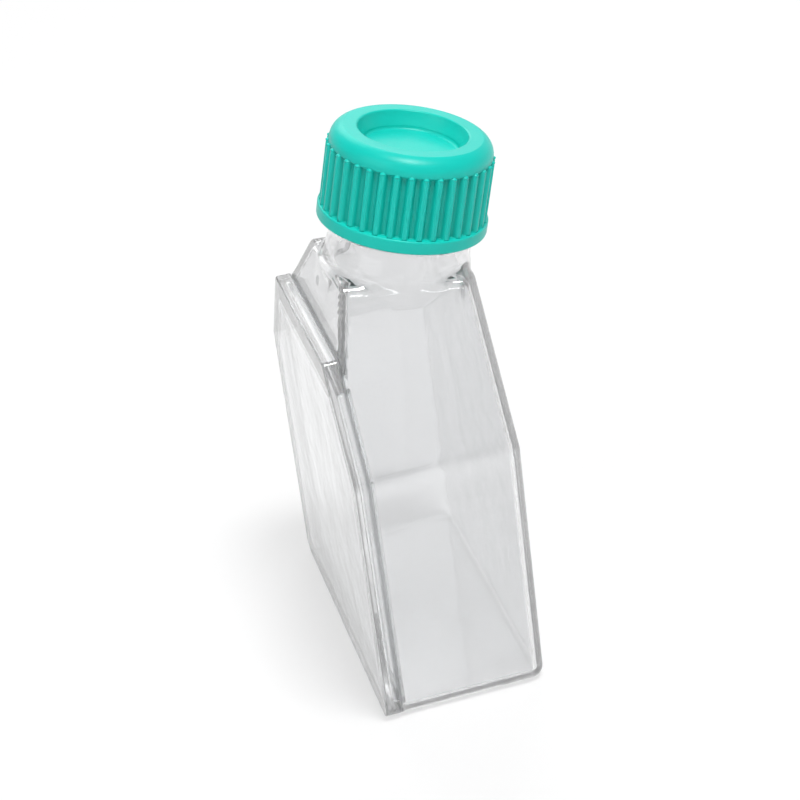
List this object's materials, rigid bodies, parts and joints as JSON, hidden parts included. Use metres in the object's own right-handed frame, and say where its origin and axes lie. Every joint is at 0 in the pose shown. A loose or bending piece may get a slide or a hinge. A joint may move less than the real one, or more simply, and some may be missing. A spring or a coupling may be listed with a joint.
{
  "type": "cell culture flask",
  "caption": "Flat clear plastic flask for growing cells, with chamfered shoulders, a canted round neck and a ribbed screw cap with a dished top.",
  "frame": {"origin": "centre of the rear end face, the narrow flat end opposite the neck, on which the flask stands", "axes": "+Z from the rear end face to the cap; +X from the growth surface to the roof, the side the neck leans to; +Y across the width"},
  "size_m": [0.0318, 0.051, 0.0837],
  "materials": {
    "clear_shell": "clear, polished",
    "clear_tray": "clear, polished",
    "teal_cap": "opaque, satin moulded"
  },
  "bodies": {
    "flask": {"upper_shell": "clear_shell", "growth_tray": "clear_tray"},
    "cap": {"screw_cap": "teal_cap"}
  },
  "joints": [
    {"name": "cap_lift", "type": "slide", "parent": "flask", "child": "cap", "axis": [0.2419, 0, 0.9703], "range_m": [0, 0.03]}
  ]
}
